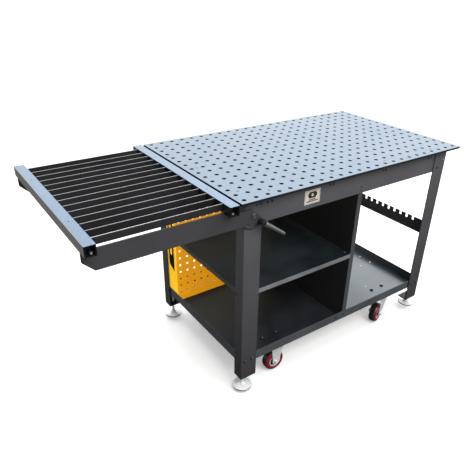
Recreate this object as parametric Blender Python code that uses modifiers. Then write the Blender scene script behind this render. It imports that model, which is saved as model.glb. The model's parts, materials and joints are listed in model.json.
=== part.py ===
"""Mobile welding table: perforated steel top on four angle legs, a fold-down slatted extension on the
left, trays, a recessed tool panel at the rear, levelling feet and four casters.

Frame: metres, +Z up, floor at z = 0, the front faces -Y. The origin is on the floor under the middle of
the whole object with its extension raised, so the middle of the main top is at x = TOP_X.
"""

import math

import bmesh
import bpy
from mathutils import Matrix, Vector

GAP = 0.0003

# main top
TOP_L = 1.2192
TOP_W = 0.762
TOP_Z = 0.9144
TOP_T = 0.0095
HOLE_PITCH = 0.0508
HOLE_R = 0.008
HOLE_SIDES = 6
HOLES_X = 24
HOLES_Y = 15

# legs: steel angles, outer corners at (+-LEG_X, +-LEG_Y)
LEG_X = 0.5715
LEG_Y = 0.3429
LEG_T = 0.0048
LEG_FRONT = 0.0762
LEG_SIDE = 0.0508
LEG_Z0 = 0.080
LEG_Z1 = TOP_Z - TOP_T - GAP
FOOT_PLATE_T = 0.006
FOOT_NUT_R = 0.0105
FOOT_NUT_H = 0.010
FOOT_X = 0.544
FOOT_Y = 0.3135
SCREW_R = 0.006
BORE_R = SCREW_R + GAP

# inside faces of the legs bound the aprons, trays and panels
IN_X = LEG_X - LEG_T - GAP
IN_Y = LEG_Y - LEG_T - GAP
SHEET = 0.002

# aprons
APRON_Z0 = 0.798
APRON_T = 0.003
APRON_FLANGE = 0.032
APRON_LIP = 0.020

# lower tray and middle shelf
TRAY_Z0 = 0.156
TRAY_H = 0.043
SHELF_Z0 = 0.490
SHELF_H = 0.0205

# divider
DIV_X = 0.014
DIV_FLANGE = 0.025

# rear tool panel
PEG_Y = 0.215
PEG_X0 = -IN_X + SHEET + GAP
PEG_X1 = DIV_X - GAP
PEG_Z1 = APRON_Z0 - GAP
PEG_PITCH = 0.0381
PEG_HOLE_R = 0.0052
PEG_HOLE_SIDES = 4
PEG_COLS = 15
PEG_ROWS = 16
PEG_FIRST_X = -0.5430
PEG_FIRST_Z = 0.2042
PEG_DEPTH = 0.119
PEG_SLOT_Y = (0.235, 0.287)
PEG_SLOT_Z = (0.312, 0.690)
PEG_SLOT_SLANT = 0.026
PEG_TONGUE_Y = (0.255, 0.271)
PEG_TONGUE_Z = 0.398
BITE = 0.0002

# tool rack between the right legs
RACK_T = 0.003
RACK_Z0 = 0.450
RACK_Z1 = 0.516
RACK_LIP = 0.014
RACK_NOTCHES = 13
RACK_PITCH = 0.040
RACK_NOTCH_W = 0.014
RACK_NOTCH_D = 0.020
COMB_T = 0.020

# nameplate
PLATE_X = -0.2515
PLATE_Z = 0.8455
PLATE_L = 0.079
PLATE_H = 0.058
PLATE_T = 0.0012

# fold-down extension
PIVOT_X = -0.5370
PIVOT_Z = 0.8405
ARM_T = 0.00635
ARM_Y0 = LEG_Y + GAP
BAR_W = 0.0381
BAR_H = 0.0381
BAR_T = 0.003
BAR_HALF = 0.383
BAR_OUT_X = -1.1300
BAR_IN_X = -0.6388
SLATS = 14
SLAT_PITCH = 0.0516
SLAT_T = 0.0032
SLAT_H = 0.0255
SLAT_Z1 = 0.912
ARM_X0 = -1.1500
ARM_Z0 = 0.8085
ARM_RAIL_Z = 0.8825
ARM_NECK_Z = 0.869
ARM_NECK_X = -0.546
ARM_CHAMFER = 0.037
TAB_DROP = 0.006
TAB_PLAY = 0.0015
TOP_X = -(ARM_X0 + TOP_L / 2) / 2
SLOT_R = 0.040
SLOT_HALF = 0.0056
LOBE_R = 0.0505
LOBE_END = math.radians(-27.0)
STUD_ANGLE = math.radians(-41.0)
FOLD = math.radians(90.0)
SLOT_SPARE = math.radians(1.5)
PIVOT_HEAD_R = 0.0105
PIVOT_HEAD_H = 0.0065

# clamp lever
STUD_R = 0.005
STUD_IN_HUB = 0.004
HUB_R = 0.0125
HUB_L = 0.027
HANDLE_R0 = 0.0095
HANDLE_R1 = 0.0065
HANDLE_TO = (0.079, 0.0304, -0.053)

# levelling foot
PAD_R = 0.042
PAD_H = 0.017
PAD_RIM = 0.0045
PAD_NECK_R = 0.010
PAD_NECK_FLARE = 0.003
PAD_NECK_H = 0.0035
FOOT_SCREW_TOP = 0.112
# the table rests on its casters: the underside of each pad is wound up to these heights
FOOT_LIFT = {"fl": 0.017, "fr": 0.034, "rl": 0.017, "rr": 0.017}

# casters
CASTER_X = 0.3546
CASTER_Y = 0.284
WHEEL_R = 0.050
WHEEL_W = 0.040
AXLE_Z = WHEEL_R
TRAIL = 0.042
AXLE_R = 0.005
AXLE_HEAD_R = 0.0085
AXLE_HEAD_H = 0.005
TYRE_CHAMFER = 0.009
FORK_IN = 0.0225
FORK_T = 0.003
FORK_BOSS_R = 0.015
FORK_SHOULDER = 0.012
BRACKET_REACH = (-0.026, 0.044)
YOKE_REACH = (-0.040, 0.054)
YOKE_BROW = 0.044
MOUNT_L = 0.100
MOUNT_W = 0.086
MOUNT_T = 0.003
RACE_R0 = 0.024
RACE_R1 = 0.027
RACE_H = 0.011
CROWN_R = 0.030
CROWN_H = 0.004
HEADINGS = {"fr": math.radians(200.0), "rr": math.radians(165.0)}

COLOURS = {
    "powder": ((0.060, 0.060, 0.068, 1.0), 0.45, 0.0),
    "steel": ((0.330, 0.400, 0.500, 1.0), 0.38, 0.85),
    "yellow": ((0.900, 0.480, 0.010, 1.0), 0.42, 0.0),
    "chrome": ((0.780, 0.800, 0.800, 1.0), 0.14, 1.0),
    "zinc": ((0.560, 0.610, 0.600, 1.0), 0.28, 0.9),
    "red": ((0.450, 0.010, 0.030, 1.0), 0.40, 0.0),
    "black": ((0.015, 0.015, 0.017, 1.0), 0.40, 0.0),
    "plate": ((0.720, 0.660, 0.560, 1.0), 0.35, 0.6),
    "bolt": ((0.200, 0.200, 0.210, 1.0), 0.30, 0.9),
}

XY = Matrix.Identity(4)
XZ = Matrix.Rotation(math.pi / 2, 4, "X")
YZ = Matrix(((0, 0, 1, 0), (1, 0, 0, 0), (0, 1, 0, 0), (0, 0, 0, 1)))


def clear():
    for obj in list(bpy.data.objects):
        bpy.data.objects.remove(obj, do_unlink=True)


def collection(name):
    made = bpy.data.collections.new(name)
    bpy.context.scene.collection.children.link(made)
    return made


clear()
PARTS = collection("welding_table")
CUTTERS = collection("cutters")


def material(name, kind):
    colour, roughness, metallic = COLOURS[kind]
    made = bpy.data.materials.new(name)
    made.use_nodes = True
    shader = made.node_tree.nodes["Principled BSDF"]
    shader.inputs["Base Color"].default_value = colour
    shader.inputs["Roughness"].default_value = roughness
    shader.inputs["Metallic"].default_value = metallic
    made.diffuse_color = colour
    return made


def add(name, mesh, kind, place=XY, parent=None):
    """Puts a mesh in the parts collection under its node name, with its own material."""
    obj = bpy.data.objects.new(name, mesh)
    PARTS.objects.link(obj)
    if kind:
        mesh.materials.clear()
        mesh.materials.append(material(name + "_finish", kind))
    obj.matrix_world = place
    if parent:
        obj.parent = parent
    return obj


def empty(name, place):
    obj = bpy.data.objects.new(name, None)
    PARTS.objects.link(obj)
    obj.matrix_world = place
    return obj


def as_tool(obj):
    """Moves an object to the cutters collection, where it only serves Booleans."""
    PARTS.objects.unlink(obj)
    CUTTERS.objects.link(obj)
    obj.hide_render = True
    obj.display_type = "WIRE"
    return obj


def boolean(obj, tool, operation):
    step = obj.modifiers.new(operation.lower(), "BOOLEAN")
    step.operation = operation
    step.solver = "EXACT"
    step.object = as_tool(tool)


def at(x, y, z):
    """A point given from the middle of the main top's plan, on the floor."""
    return Matrix.Translation((TOP_X + x, y, z))


def mesh_from(bm, name, smooth=False):
    bmesh.ops.remove_doubles(bm, verts=bm.verts, dist=1e-6)
    bmesh.ops.recalc_face_normals(bm, faces=bm.faces)
    mesh = bpy.data.meshes.new(name)
    bm.to_mesh(mesh)
    bm.free()
    if smooth:
        mesh.shade_smooth()
        mesh.set_sharp_from_angle(angle=math.radians(35))
    return mesh


def outline_mesh(name, loops, depth):
    """A flat outline with holes (closed loops of (u, v)), as thick as depth, centred on its plane."""
    curve = bpy.data.curves.new(name, "CURVE")
    curve.dimensions = "2D"
    curve.fill_mode = "BOTH"
    curve.extrude = depth / 2
    for loop in loops:
        spline = curve.splines.new("POLY")
        spline.points.add(len(loop) - 1)
        for point, (u, v) in zip(spline.points, loop):
            point.co = (u, v, 0.0, 1.0)
        spline.use_cyclic_u = True
    guide = bpy.data.objects.new(name + "_curve", curve)
    PARTS.objects.link(guide)
    bpy.context.view_layer.update()
    solid = bpy.data.meshes.new_from_object(guide.evaluated_get(bpy.context.evaluated_depsgraph_get()))
    bpy.data.objects.remove(guide, do_unlink=True)
    bm = bmesh.new()
    bm.from_mesh(solid)
    bpy.data.meshes.remove(solid)
    return mesh_from(bm, name)


def flat(name, loops, depth, plane, place, kind, parent=None):
    return add(name, outline_mesh(name, loops, depth), kind, place @ plane, parent)


def box_mesh(name, size):
    bm = bmesh.new()
    bmesh.ops.create_cube(bm, size=1.0, matrix=Matrix.Diagonal((*size, 1.0)))
    return mesh_from(bm, name)


def box(name, size, place, kind, parent=None):
    return add(name, box_mesh(name, size), kind, place, parent)


def cone(name, r0, r1, length, place, kind, sides=24, parent=None):
    """A cylinder or cone along its local Z, r0 at the lower end."""
    bm = bmesh.new()
    bmesh.ops.create_cone(
        bm, cap_ends=True, segments=sides, radius1=r0, radius2=r1, depth=length
    )
    return add(name, mesh_from(bm, name, True), kind, place, parent)


def turned(name, profile, place, kind, sides=24, parent=None):
    """A profile of (radius, height), from top to bottom down its outer side, turned about Z."""
    mesh = bpy.data.meshes.new(name)
    points = [(r, 0.0, z) for r, z in profile]
    closed = profile[0][0] > 0.0
    count = len(points)
    edges = [(i, i + 1) for i in range(count - 1)]
    if closed:
        edges.append((count - 1, 0))
    mesh.from_pydata(points, edges, [])
    obj = add(name, mesh, kind, place, parent)
    screw = obj.modifiers.new("turn", "SCREW")
    screw.axis = "Z"
    screw.angle = 2 * math.pi
    screw.steps = sides
    screw.render_steps = sides
    screw.use_merge_vertices = True
    screw.merge_threshold = 0.00001
    screw.use_smooth_shade = True
    return obj


def rect(u0, u1, v0, v1):
    return [(u0, v0), (u1, v0), (u1, v1), (u0, v1)]


def ring(u, v, radius, sides, turn=0.0):
    step = 2 * math.pi / sides
    return [
        (u + radius * math.cos(turn + step * k), v + radius * math.sin(turn + step * k))
        for k in range(sides)
    ]


def arc(u, v, radius, start, end, steps):
    return [
        (
            u + radius * math.cos(start + (end - start) * k / steps),
            v + radius * math.sin(start + (end - start) * k / steps),
        )
        for k in range(steps + 1)
    ]


# ---------------------------------------------------------------- main top
def build_top():
    loops = [rect(-TOP_L / 2, TOP_L / 2, -TOP_W / 2, TOP_W / 2)]
    for i in range(HOLES_X):
        for j in range(HOLES_Y):
            u = (i - (HOLES_X - 1) / 2) * HOLE_PITCH
            v = (j - (HOLES_Y - 1) / 2) * HOLE_PITCH
            loops.append(ring(u, v, HOLE_R, HOLE_SIDES))
    flat("table_top", loops, TOP_T, XY, at(0, 0, TOP_Z - TOP_T / 2), "steel")


# ---------------------------------------------------------------- legs
def stud_point():
    return (
        PIVOT_X + SLOT_R * math.cos(STUD_ANGLE),
        PIVOT_Z + SLOT_R * math.sin(STUD_ANGLE),
    )


def cut_hole(obj, name, radius, length, place, sides=20):
    boolean(obj, cone(name, radius, radius, length, place, None, sides), "DIFFERENCE")


def build_leg(tag, sx, sy):
    x, y = sx * LEG_X, sy * LEG_Y
    inner_x = sx * (LEG_X - LEG_T)
    inner_y = sy * (LEG_Y - LEG_T)
    end_x = sx * (LEG_X - LEG_FRONT)
    end_y = sy * (LEG_Y - LEG_SIDE)
    angle = [(x, y), (end_x, y), (end_x, inner_y), (inner_x, inner_y), (inner_x, end_y), (x, end_y)]
    height = LEG_Z1 - LEG_Z0
    leg = flat(f"leg_{tag}", [angle], height, XY, at(0, 0, LEG_Z0 + height / 2), "powder")
    bite = LEG_T / 2
    plate_x = (end_x + inner_x + sx * bite) / 2
    plate_y = (end_y + inner_y + sy * bite) / 2
    plate_size = (LEG_FRONT - bite, LEG_SIDE - bite, FOOT_PLATE_T)
    plate = box(
        f"foot_plate_{tag}",
        plate_size,
        at(plate_x, plate_y, LEG_Z0 + FOOT_PLATE_T / 2 + 0.0002),
        None,
    )
    boolean(leg, plate, "UNION")
    nut_z = LEG_Z0 + FOOT_PLATE_T + FOOT_NUT_H / 2 - 0.0008
    nut_place = at(sx * FOOT_X, sy * FOOT_Y, nut_z)
    nut = cone(f"weld_nut_{tag}", FOOT_NUT_R, FOOT_NUT_R, FOOT_NUT_H, nut_place, None, 6)
    boolean(leg, nut, "UNION")
    cut_hole(leg, f"foot_bore_{tag}", BORE_R, 0.06, at(sx * FOOT_X, sy * FOOT_Y, LEG_Z0))
    if sx < 0:
        stud_x, stud_z = stud_point()
        wall_y = y - sy * LEG_T / 2
        cut_hole(leg, f"pivot_bore_{tag}", BORE_R, 0.02, at(PIVOT_X, wall_y, PIVOT_Z) @ XZ)
        cut_hole(leg, f"stud_bore_{tag}", STUD_R + GAP, 0.02, at(stud_x, wall_y, stud_z) @ XZ)
    return leg


# ---------------------------------------------------------------- aprons, trays, panels
def build_aprons():
    for tag, sy in (("front", -1), ("rear", 1)):
        outer = sy * IN_Y
        inner = outer - sy * APRON_T
        lip = outer - sy * APRON_FLANGE
        section = [
            (outer, APRON_Z0),
            (inner, APRON_Z0),
            (inner, LEG_Z1 - APRON_T),
            (lip, LEG_Z1 - APRON_T),
            (lip, LEG_Z1),
            (outer, LEG_Z1),
        ]
        flat(f"apron_{tag}", [section], 2 * IN_X, YZ, at(0, 0, 0), "powder")
    length = 2 * (IN_Y - APRON_T - GAP)
    top = LEG_Z1 - APRON_T - GAP
    for tag, sx in (("left", -1), ("right", 1)):
        outer = sx * IN_X
        inner = outer - sx * APRON_T
        lip = outer - sx * APRON_LIP
        section = [
            (outer, APRON_Z0),
            (lip, APRON_Z0),
            (lip, APRON_Z0 + APRON_T),
            (inner, APRON_Z0 + APRON_T),
            (inner, top),
            (outer, top),
        ]
        flat(f"apron_{tag}", [section], length, XZ, at(0, 0, 0), "powder")


def open_tray(name, x0, x1, y0, y1, z0, height):
    """A sheet tray: a box without its lid, thickened inwards."""
    bm = bmesh.new()
    size = Matrix.Diagonal((x1 - x0, y1 - y0, height, 1.0))
    bmesh.ops.create_cube(bm, size=1.0, matrix=size)
    lid = [face for face in bm.faces if face.normal.z > 0.9]
    bmesh.ops.delete(bm, geom=lid, context="FACES_ONLY")
    place = at((x0 + x1) / 2, (y0 + y1) / 2, z0 + height / 2)
    tray = add(name, mesh_from(bm, name), "powder", place)
    shell = tray.modifiers.new("sheet", "SOLIDIFY")
    shell.thickness = SHEET
    shell.offset = -1.0
    shell.use_even_offset = True
    return tray


def build_trays():
    open_tray("lower_tray", -IN_X, IN_X, -IN_Y, IN_Y, TRAY_Z0, TRAY_H)
    open_tray("shelf_tray", -IN_X, DIV_X - GAP, -IN_Y, PEG_Y - GAP, SHELF_Z0, SHELF_H)


def build_divider():
    """A folded panel standing on the lower tray, with a flange along its front and rear edges."""
    reach = IN_Y - APRON_T - GAP
    z0 = TRAY_Z0 + SHEET + GAP
    z1 = LEG_Z1 - APRON_T - GAP
    section = [
        (DIV_X, -reach),
        (DIV_X + DIV_FLANGE, -reach),
        (DIV_X + DIV_FLANGE, -reach + SHEET),
        (DIV_X + SHEET, -reach + SHEET),
        (DIV_X + SHEET, reach - SHEET),
        (DIV_X + DIV_FLANGE, reach - SHEET),
        (DIV_X + DIV_FLANGE, reach),
        (DIV_X, reach),
    ]
    flat("divider_panel", [section], z1 - z0, XY, at(0, 0, (z0 + z1) / 2), "powder")


def build_pegboard():
    """A perforated face with a flange turned back along each side; the left flange is slotted."""
    z0 = TRAY_Z0 + SHEET + GAP
    loops = [rect(PEG_X0, PEG_X1, z0, PEG_Z1)]
    for i in range(PEG_COLS):
        for j in range(PEG_ROWS):
            u = PEG_FIRST_X + i * PEG_PITCH
            v = PEG_FIRST_Z + j * PEG_PITCH
            loops.append(ring(u, v, PEG_HOLE_R, PEG_HOLE_SIDES))
    face = flat("pegboard", loops, SHEET, XZ, at(0, PEG_Y + SHEET / 2, 0), "yellow")
    slot_y0, slot_y1 = PEG_SLOT_Y
    slot_z0, slot_z1 = PEG_SLOT_Z
    tongue_y0, tongue_y1 = PEG_TONGUE_Y
    slot = [
        (slot_y0, slot_z0),
        (slot_y1, slot_z0 + PEG_SLOT_SLANT),
        (slot_y1, slot_z1),
        (tongue_y1, slot_z1),
        (tongue_y1, PEG_TONGUE_Z),
        (tongue_y0, PEG_TONGUE_Z),
        (tongue_y0, slot_z1),
        (slot_y0, slot_z1),
    ]
    outline = rect(PEG_Y + BITE, PEG_Y + PEG_DEPTH, z0 + BITE, PEG_Z1 - BITE)
    inset = (SHEET + BITE) / 2
    for tag, x, holes in (("left", PEG_X0 + inset, [slot]), ("right", PEG_X1 - inset, [])):
        flange = flat(f"peg_flange_{tag}", [outline] + holes, SHEET, YZ, at(x, 0, 0), None)
        boolean(face, flange, "UNION")


def build_rack():
    outer = IN_X
    section = [
        (outer, RACK_Z0),
        (outer - RACK_LIP, RACK_Z0),
        (outer - RACK_LIP, RACK_Z0 + RACK_T),
        (outer - RACK_T, RACK_Z0 + RACK_T),
        (outer - RACK_T, RACK_Z1),
        (outer, RACK_Z1),
    ]
    length = 2 * (IN_Y - APRON_T - GAP)
    rack = flat("tool_rack", [section], length, XZ, at(0, 0, 0), "powder")
    comb = bmesh.new()
    for k in range(RACK_NOTCHES):
        y = (k - (RACK_NOTCHES - 1) / 2) * RACK_PITCH
        size = Matrix.Diagonal((COMB_T, RACK_NOTCH_W, 2 * RACK_NOTCH_D, 1.0))
        bmesh.ops.create_cube(comb, size=1.0, matrix=Matrix.Translation((0, y, 0)) @ size)
    comb_place = at(outer - RACK_T / 2, 0, RACK_Z1)
    cutter = add("rack_notches", mesh_from(comb, "rack_notches"), None, comb_place)
    boolean(rack, cutter, "DIFFERENCE")


def build_nameplate():
    y = -IN_Y - GAP - PLATE_T / 2
    box("nameplate", (PLATE_L, PLATE_T, PLATE_H), at(PLATE_X, y, PLATE_Z), "plate")


# ---------------------------------------------------------------- fold-down extension
def arm_outline():
    """Side plate seen from the front: (x, z), with tabs that rise into the two crossbars."""
    seat = TOP_Z - BAR_H - GAP
    tab_z = TOP_Z - BAR_T - TAB_DROP
    tab = BAR_W / 2 - BAR_T - TAB_PLAY
    clear = BAR_W / 2 + TAB_PLAY
    meet = math.asin((ARM_Z0 - PIVOT_Z) / LOBE_R)
    points = [(ARM_X0, ARM_Z0 + ARM_CHAMFER), (ARM_X0 + ARM_CHAMFER, ARM_Z0)]
    points += arc(PIVOT_X, PIVOT_Z, LOBE_R, math.pi - meet, 2 * math.pi + LOBE_END, 12)
    points += [(ARM_NECK_X, ARM_NECK_Z), (BAR_IN_X + clear, ARM_NECK_Z), (BAR_IN_X + clear, seat)]
    points += [(BAR_IN_X + tab, seat), (BAR_IN_X + tab, tab_z)]
    points += [(BAR_IN_X - tab, tab_z), (BAR_IN_X - tab, seat), (BAR_IN_X - clear, seat)]
    points += [(BAR_IN_X - clear, ARM_RAIL_Z), (BAR_OUT_X + clear, ARM_RAIL_Z), (BAR_OUT_X + clear, seat)]
    points += [(BAR_OUT_X + tab, seat), (BAR_OUT_X + tab, tab_z)]
    points += [(BAR_OUT_X - tab, tab_z), (BAR_OUT_X - tab, seat), (ARM_X0, seat)]
    return points


def arm_slot():
    """The guide slot runs clockwise from the stud, so that the arm may turn by FOLD about its pivot."""
    start, end = STUD_ANGLE + SLOT_SPARE, STUD_ANGLE - FOLD - SLOT_SPARE
    outer = arc(PIVOT_X, PIVOT_Z, SLOT_R + SLOT_HALF, start, end, 12)
    inner = arc(PIVOT_X, PIVOT_Z, SLOT_R - SLOT_HALF, end, start, 12)

    def cap(angle, turn):
        u = PIVOT_X + SLOT_R * math.cos(angle)
        v = PIVOT_Z + SLOT_R * math.sin(angle)
        return arc(u, v, SLOT_HALF, turn, turn - math.pi, 6)[1:-1]

    return outer + cap(end, end) + inner + cap(start, start - math.pi)


def build_extension():
    hinge = empty("extension_hinge", at(PIVOT_X, 0, PIVOT_Z))
    back = hinge.matrix_world.inverted()
    loops = [arm_outline(), ring(PIVOT_X, PIVOT_Z, BORE_R, 20), arm_slot()]
    for tag, sy in (("front", -1), ("rear", 1)):
        y = sy * (ARM_Y0 + ARM_T / 2)
        flat(f"arm_{tag}", loops, ARM_T, XZ, back @ at(0, y, 0), "powder", hinge)
    low, high = TOP_Z - BAR_H, TOP_Z
    half = BAR_W / 2
    for tag, x in (("outer", BAR_OUT_X), ("inner", BAR_IN_X)):
        section = [
            (-half, low),
            (-half + BAR_T, low),
            (-half + BAR_T, high - BAR_T),
            (half - BAR_T, high - BAR_T),
            (half - BAR_T, low),
            (half, low),
            (half, high),
            (-half, high),
        ]
        flat(f"crossbar_{tag}", [section], 2 * BAR_HALF, XZ, back @ at(x, 0, 0), "steel", hinge)
    x0 = BAR_OUT_X + half + GAP
    x1 = BAR_IN_X - half - GAP
    slat = box_mesh("slat", (x1 - x0, SLAT_T, SLAT_H))
    slat.materials.append(material("slat_finish", "powder"))
    for k in range(SLATS):
        y = (k - (SLATS - 1) / 2) * SLAT_PITCH
        place = back @ at((x0 + x1) / 2, y, SLAT_Z1 - SLAT_H / 2)
        add(f"slat_{k + 1:02d}", slat, None, place, hinge)


def build_pivot_bolts():
    face = ARM_Y0 + ARM_T + GAP
    inside = LEG_Y - LEG_T - GAP / 2
    shank = face + PIVOT_HEAD_H / 2 - inside
    for tag, sy in (("front", -1), ("rear", 1)):
        place = at(PIVOT_X, sy * (inside + shank / 2), PIVOT_Z) @ XZ
        bolt = cone(f"pivot_bolt_{tag}", SCREW_R, SCREW_R, shank, place, "bolt", 20)
        head_place = at(PIVOT_X, sy * (face + PIVOT_HEAD_H / 2), PIVOT_Z) @ XZ
        head = cone(f"pivot_head_{tag}", PIVOT_HEAD_R, PIVOT_HEAD_R, PIVOT_HEAD_H, head_place, None, 6)
        boolean(bolt, head, "UNION")


def build_levers():
    """A stud through leg and arm, a hub on its outer end and a tapered grip."""
    stud_x, stud_z = stud_point()
    start = ARM_Y0 + ARM_T + GAP
    stud_in = LEG_Y - LEG_T + GAP / 2
    stud_len = start + STUD_IN_HUB - stud_in
    for tag, sy in (("front", -1), ("rear", 1)):
        axis = empty(f"lever_axis_{tag}", at(stud_x, 0, stud_z))
        place = Matrix.Translation((0, sy * (stud_in + stud_len / 2), 0)) @ XZ
        lever = cone(f"clamp_lever_{tag}", STUD_R, STUD_R, stud_len, place, "black", 20, axis)
        hub_place = at(stud_x, sy * (start + HUB_L / 2), stud_z) @ XZ
        boolean(lever, cone(f"lever_hub_{tag}", HUB_R, HUB_R, HUB_L, hub_place, None, 20), "UNION")
        reach = Vector((HANDLE_TO[0], sy * HANDLE_TO[1], HANDLE_TO[2]))
        root = Vector((TOP_X + stud_x, sy * (start + HUB_L - HANDLE_R0), stud_z))
        turn = reach.to_track_quat("Z", "Y").to_matrix().to_4x4()
        grip_place = Matrix.Translation(root + reach / 2) @ turn
        grip = cone(f"lever_grip_{tag}", HANDLE_R0, HANDLE_R1, reach.length, grip_place, None, 16)
        boolean(lever, grip, "UNION")


# ---------------------------------------------------------------- feet
def build_feet():
    pad = [
        (0.0, PAD_H),
        (PAD_NECK_R, PAD_H),
        (PAD_NECK_R + PAD_NECK_FLARE, PAD_H - PAD_NECK_H),
        (PAD_R * 0.8, (PAD_H + PAD_RIM) * 0.4),
        (PAD_R, PAD_RIM),
        (PAD_R, 0.0),
        (0.0, 0.0),
    ]
    for tag, sx, sy in (("fl", -1, -1), ("fr", 1, -1), ("rl", -1, 1), ("rr", 1, 1)):
        base = empty(f"foot_axis_{tag}", at(sx * FOOT_X, sy * FOOT_Y, FOOT_LIFT[tag]))
        turned(f"foot_pad_{tag}", pad, XY, "chrome", 20, base)
        z0 = PAD_H + GAP
        length = FOOT_SCREW_TOP - z0
        place = Matrix.Translation((0, 0, z0 + length / 2))
        cone(f"foot_screw_{tag}", SCREW_R, SCREW_R, length, place, "zinc", 16, base)


# ---------------------------------------------------------------- casters
def fork_outline(offset, top, reach, brow):
    """One cheek of a fork: it spans reach under its crown and is round about the axle; the front edge
    keeps its full reach down to brow below the top."""
    back, front = reach
    low = arc(offset, AXLE_Z, FORK_BOSS_R, math.pi, 2 * math.pi, 8)
    return low + [(front, top - brow), (front, top), (back, top), (back, top - FORK_SHOULDER)]


def build_wheel(tag, parent, offset):
    bore = AXLE_R + GAP
    half = WHEEL_W / 2
    profile = [(bore, half), (WHEEL_R - TYRE_CHAMFER, half), (WHEEL_R, half - TYRE_CHAMFER)]
    profile += [(r, -z) for r, z in reversed(profile)]
    place = Matrix.Translation((offset, 0, AXLE_Z)) @ XZ
    turned(f"caster_wheel_{tag}", profile, place, "red", 24, parent)
    half_axle = FORK_IN + FORK_T
    length = 2 * (half_axle + AXLE_HEAD_H - 2 * GAP)
    axle = cone(f"caster_axle_{tag}", AXLE_R, AXLE_R, length, place, "zinc", 16, parent)
    for side in (-1, 1):
        out = Matrix.Translation((0, side * (half_axle + GAP + AXLE_HEAD_H / 2), 0))
        world = parent.matrix_world @ out @ place
        head = cone(f"axle_head_{tag}_{side}", AXLE_HEAD_R, AXLE_HEAD_R, AXLE_HEAD_H, world, None, 6)
        boolean(axle, head, "UNION")


def build_fork(name, crown, parent, offset, top, reach, brow):
    """Adds the two cheeks to a crown; each has a clearance hole for the axle."""
    loops = [fork_outline(offset, top, reach, brow), ring(offset, AXLE_Z, AXLE_R + GAP, 16)]
    for side in (-1, 1):
        y = side * (FORK_IN + FORK_T / 2)
        place = parent.matrix_world @ Matrix.Translation((0, y, 0))
        cheek = flat(f"{name}_cheek_{side}", loops, FORK_T, XZ, place, None)
        boolean(crown, cheek, "UNION")


def build_fixed_caster(tag, place, top):
    base = empty(f"caster_axis_{tag}", place)
    seat = Matrix.Translation((0, 0, top - MOUNT_T / 2))
    bracket = box(f"caster_bracket_{tag}", (MOUNT_L, MOUNT_W, MOUNT_T), seat, "zinc", base)
    build_fork(f"bracket_{tag}", bracket, base, 0.0, top - MOUNT_T / 2, BRACKET_REACH, FORK_SHOULDER)
    build_wheel(tag, base, 0.0)


def build_swivel_caster(tag, place, top):
    """A mount plate with the race under it, and a yoke that turns below the race."""
    seat = place @ Matrix.Translation((0, 0, top - MOUNT_T / 2))
    mount = box(f"caster_mount_{tag}", (MOUNT_L, MOUNT_W, MOUNT_T), seat, "zinc")
    race_z = top - MOUNT_T - RACE_H / 2 + GAP
    race_place = place @ Matrix.Translation((0, 0, race_z))
    race = cone(f"caster_race_{tag}", RACE_R0, RACE_R1, RACE_H, race_place, None, 24)
    boolean(mount, race, "UNION")
    spin = empty(f"caster_swivel_{tag}", place @ Matrix.Rotation(HEADINGS[tag], 4, "Z"))
    crown_z = race_z - RACE_H / 2 - GAP - CROWN_H / 2
    crown_place = Matrix.Translation((0, 0, crown_z))
    crown = cone(f"caster_yoke_{tag}", CROWN_R, CROWN_R, CROWN_H, crown_place, "zinc", 24, spin)
    build_fork(f"yoke_{tag}", crown, spin, TRAIL, crown_z, YOKE_REACH, YOKE_BROW)
    build_wheel(tag, spin, TRAIL)


def build_casters():
    top = TRAY_Z0 - GAP
    for tag, sx, sy in (("fl", -1, -1), ("rl", -1, 1), ("fr", 1, -1), ("rr", 1, 1)):
        build = build_swivel_caster if tag in HEADINGS else build_fixed_caster
        build(tag, at(sx * CASTER_X, sy * CASTER_Y, 0), top)


build_top()
for leg_tag, leg_sx, leg_sy in (("fl", -1, -1), ("fr", 1, -1), ("rl", -1, 1), ("rr", 1, 1)):
    build_leg(leg_tag, leg_sx, leg_sy)
build_aprons()
build_trays()
build_divider()
build_pegboard()
build_rack()
build_nameplate()
build_extension()
build_pivot_bolts()
build_levers()
build_feet()
build_casters()
bpy.context.view_layer.update()
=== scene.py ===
"""Looks of the mobile welding table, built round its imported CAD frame.

Metres, +Z up, floor at z = 0, the front of the table faces -Y. Flat sheet pieces keep their CAD nodes,
softened by modifiers. Perforated, turned and pressed pieces are new meshes that stand for their CAD nodes.
"""

import json
import math

import bmesh
import bpy
from mathutils import Matrix, Vector


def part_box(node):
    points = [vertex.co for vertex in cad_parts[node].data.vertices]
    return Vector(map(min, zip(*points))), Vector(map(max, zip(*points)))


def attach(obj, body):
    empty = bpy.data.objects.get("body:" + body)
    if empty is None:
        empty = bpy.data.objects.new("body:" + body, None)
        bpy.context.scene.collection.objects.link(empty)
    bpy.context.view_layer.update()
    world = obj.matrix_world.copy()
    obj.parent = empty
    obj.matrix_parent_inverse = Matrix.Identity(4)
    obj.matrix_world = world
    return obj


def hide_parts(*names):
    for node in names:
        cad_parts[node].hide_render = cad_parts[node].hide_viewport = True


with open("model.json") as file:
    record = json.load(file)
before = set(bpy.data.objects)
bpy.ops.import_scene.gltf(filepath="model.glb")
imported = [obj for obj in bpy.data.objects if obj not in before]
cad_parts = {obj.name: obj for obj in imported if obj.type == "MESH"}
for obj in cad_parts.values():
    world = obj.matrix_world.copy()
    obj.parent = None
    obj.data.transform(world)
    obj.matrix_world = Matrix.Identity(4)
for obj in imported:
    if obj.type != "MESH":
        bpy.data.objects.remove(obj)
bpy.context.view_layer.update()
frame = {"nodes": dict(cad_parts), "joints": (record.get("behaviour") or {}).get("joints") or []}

NODES = frame["nodes"]
JOINTS = {joint["name"]: joint for joint in frame["joints"]}
TOP_LOW, TOP_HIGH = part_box("table_top")
MID_X = (TOP_LOW.x + TOP_HIGH.x) / 2
FRONT_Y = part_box("leg_fl")[0].y
APRON_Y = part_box("apron_front")[0].y
SIDE_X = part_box("leg_fl")[0].x
MM = 0.001
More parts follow.
